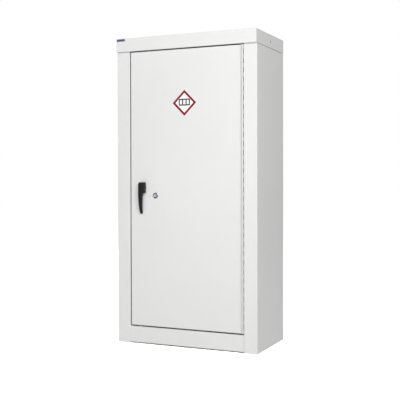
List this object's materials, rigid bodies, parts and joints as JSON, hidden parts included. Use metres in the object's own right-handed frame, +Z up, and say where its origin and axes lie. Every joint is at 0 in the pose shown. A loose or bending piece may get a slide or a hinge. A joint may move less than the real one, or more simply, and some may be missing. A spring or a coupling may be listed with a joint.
{
  "type": "hazardous substance storage cabinet",
  "caption": "Tall single-door steel storage cabinet for hazardous liquids, with a lever handle, latch rods, key lock, continuous hinge, tray shelves and a sump.",
  "frame": {"origin": "centre of the whole object's footprint, on the floor", "axes": "+X to the right and +Z up for a person in front of the door, who stands on the -Y side"},
  "size_m": [0.6024, 0.3306, 1.2295],
  "materials": {
    "cabinet_paint": "satin powder coat, fine texture",
    "shelf_paint": "satin powder coat",
    "zinc": "bright zinc plate",
    "lock_chrome": "polished",
    "handle": "moulded, light grain",
    "guide": "natural nylon",
    "rubber": "matt",
    "sign": "white vinyl with a red border and a dark mark",
    "badge": "plain blue label",
    "dark_screw": "blackened"
  },
  "bodies": {
    "carcass": {"side_panel_left": "cabinet_paint", "side_panel_right": "cabinet_paint", "back_panel": "cabinet_paint", "back_panel_rivets": "zinc", "canopy": "cabinet_paint", "canopy_screws": "dark_screw", "header_channel": "cabinet_paint", "bottom_rail": "cabinet_paint", "floor_panel": "cabinet_paint", "rear_plinth": "cabinet_paint", "sump_tray": "shelf_paint", "upper_rod_keep": "zinc", "lower_rod_keep": "zinc", "latch_keep": "zinc", "front_upright_left": "zinc", "front_upright_right": "zinc", "rear_upright_left": "zinc", "rear_upright_right": "zinc", "shelf_clips": "zinc", "lower_shelf": "shelf_paint", "middle_shelf": "shelf_paint", "upper_shelf": "shelf_paint", "frame_hinge_leaf": "cabinet_paint", "frame_hinge_rivets": "zinc", "hinge_pin": "zinc", "door_buffers": "rubber", "badge_plate": "badge"},
    "door": {"door_panel": "cabinet_paint", "door_stiffener": "cabinet_paint", "door_hinge_leaf": "cabinet_paint", "door_hinge_rivets": "zinc", "upper_rod_guide": "guide", "lower_rod_guide": "guide", "hazard_sign": "sign", "handle_bush": "handle", "handle_nut": "zinc", "lock_housing": "lock_chrome", "lock_nut": "zinc"},
    "handle": {"handle_lever": "handle", "handle_spindle": "zinc", "latch_cam": "zinc", "cam_washer": "zinc", "cam_screw": "zinc", "rod_rivets": "zinc"},
    "upper_rod": {"upper_latch_rod": "zinc"},
    "lower_rod": {"lower_latch_rod": "zinc"},
    "lock_plug": {"lock_barrel": "lock_chrome", "lock_tongue": "zinc", "lock_screw": "zinc"}
  },
  "joints": [
    {"name": "door_swing", "type": "hinge", "parent": "carcass", "child": "door", "pos_m": [0.24275, -0.14975, 0.6235], "axis": [0, 0, 1], "range_deg": [0, 170]},
    {"name": "handle_turn", "type": "hinge", "parent": "door", "child": "handle", "pos_m": [-0.181, -0.14675, 0.628], "axis": [0, 1, 0], "range_deg": [0, 90]},
    {"name": "upper_rod_pivot", "type": "hinge", "parent": "handle", "child": "upper_rod", "pos_m": [-0.161, -0.13925, 0.63733], "axis": [0, 1, 0], "range_deg": [-90, 0]},
    {"name": "lower_rod_pivot", "type": "hinge", "parent": "handle", "child": "lower_rod", "pos_m": [-0.201, -0.13925, 0.61867], "axis": [0, 1, 0], "range_deg": [-90, 0]},
    {"name": "lock_turn", "type": "hinge", "parent": "door", "child": "lock_plug", "pos_m": [-0.129, -0.14675, 0.597], "axis": [0, 1, 0], "range_deg": [0, 90]}
  ],
  "couplings": [
    {"joint": "upper_rod_pivot", "follows": "handle_turn", "ratio": -0.98737},
    {"joint": "lower_rod_pivot", "follows": "handle_turn", "ratio": -0.9876}
  ]
}
